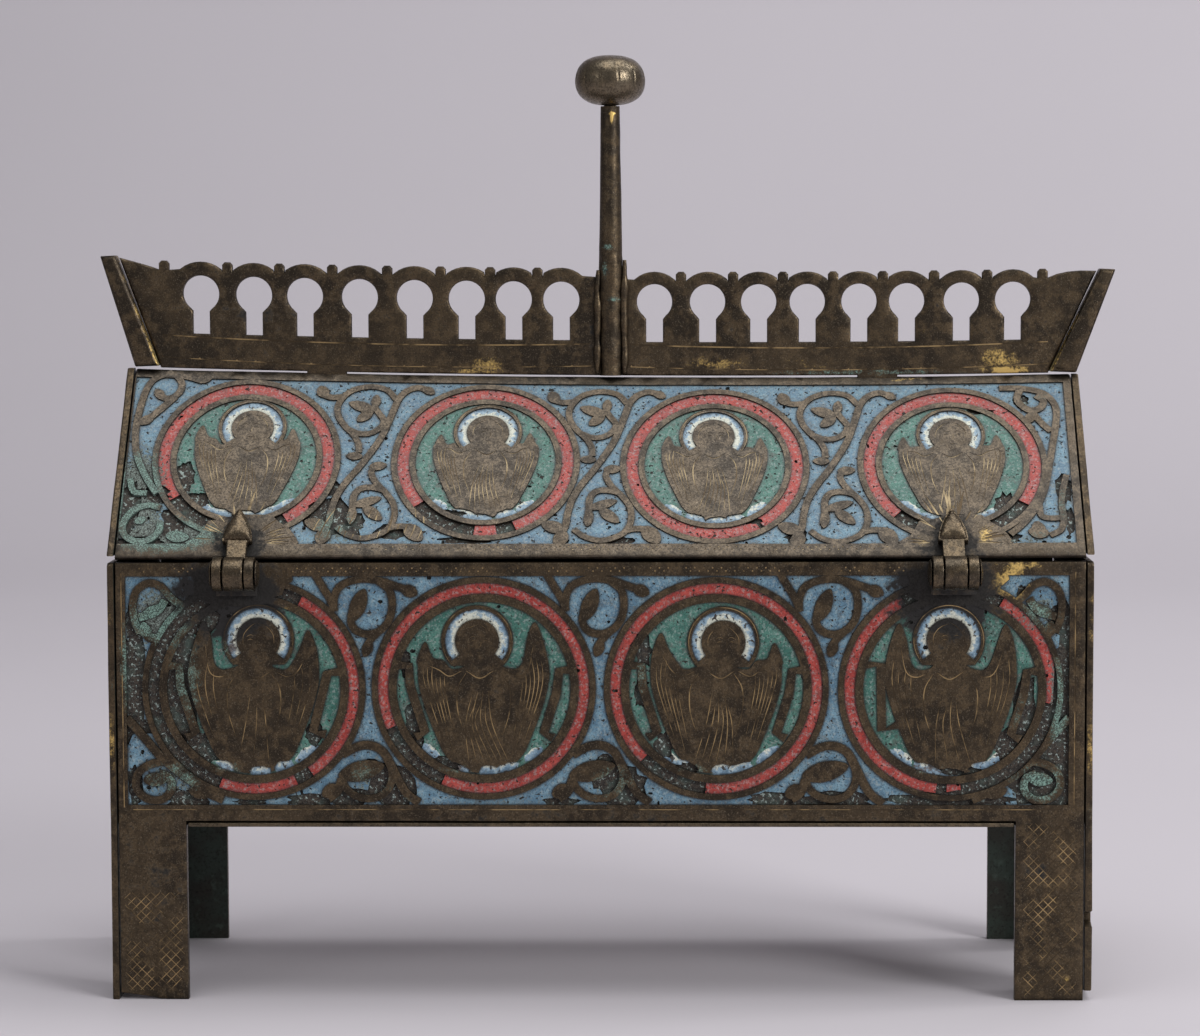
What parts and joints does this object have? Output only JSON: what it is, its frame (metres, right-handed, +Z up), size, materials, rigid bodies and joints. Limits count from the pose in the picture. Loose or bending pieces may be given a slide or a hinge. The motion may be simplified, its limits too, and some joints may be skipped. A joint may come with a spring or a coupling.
{
  "type": "reliquary casket",
  "caption": "House-shaped reliquary casket on plate legs, its enamelled gabled lid hinged at the front under a pierced crest with a knobbed stem.",
  "frame": {"origin": "centre of the whole casket's footprint, on the surface that it stands on", "axes": "+X to the right as the enamelled front is faced, +Y from the hinged front to the back, +Z up"},
  "size_m": [0.202, 0.068, 0.1835],
  "materials": {
    "champleve_enamel_plate": "copper with sunk blue, green, red and white enamel, brown patina and remains of gilding, worn and pitted",
    "patinated_gilt_copper": "dark brown patina over gilt copper, rubbed bright on edges",
    "greened_copper_sheet": "thin sheet, dark and green with corrosion"
  },
  "bodies": {
    "casket": {"front_plate": "champleve_enamel_plate", "back_plate": "champleve_enamel_plate", "left_end_plate": "champleve_enamel_plate", "right_end_plate": "champleve_enamel_plate", "bottom_sheet": "greened_copper_sheet", "left_hinge_body_leaf": "patinated_gilt_copper", "right_hinge_body_leaf": "patinated_gilt_copper", "left_hinge_pin": "patinated_gilt_copper", "right_hinge_pin": "patinated_gilt_copper"},
    "lid": {"roof_front_plate": "champleve_enamel_plate", "roof_back_plate": "champleve_enamel_plate", "left_gable_plate": "champleve_enamel_plate", "right_gable_plate": "champleve_enamel_plate", "crest": "patinated_gilt_copper", "crest_left_bar": "patinated_gilt_copper", "crest_right_bar": "patinated_gilt_copper", "stem": "patinated_gilt_copper", "knob": "patinated_gilt_copper", "left_hinge_roof_leaf": "patinated_gilt_copper", "right_hinge_roof_leaf": "patinated_gilt_copper"}
  },
  "joints": [
    {"name": "lid_hinge", "type": "hinge", "parent": "casket", "child": "lid", "pos_m": [-0.00101, -0.0307, 0.0836], "axis": [1, 0, 0], "range_deg": [0, 150]}
  ]
}
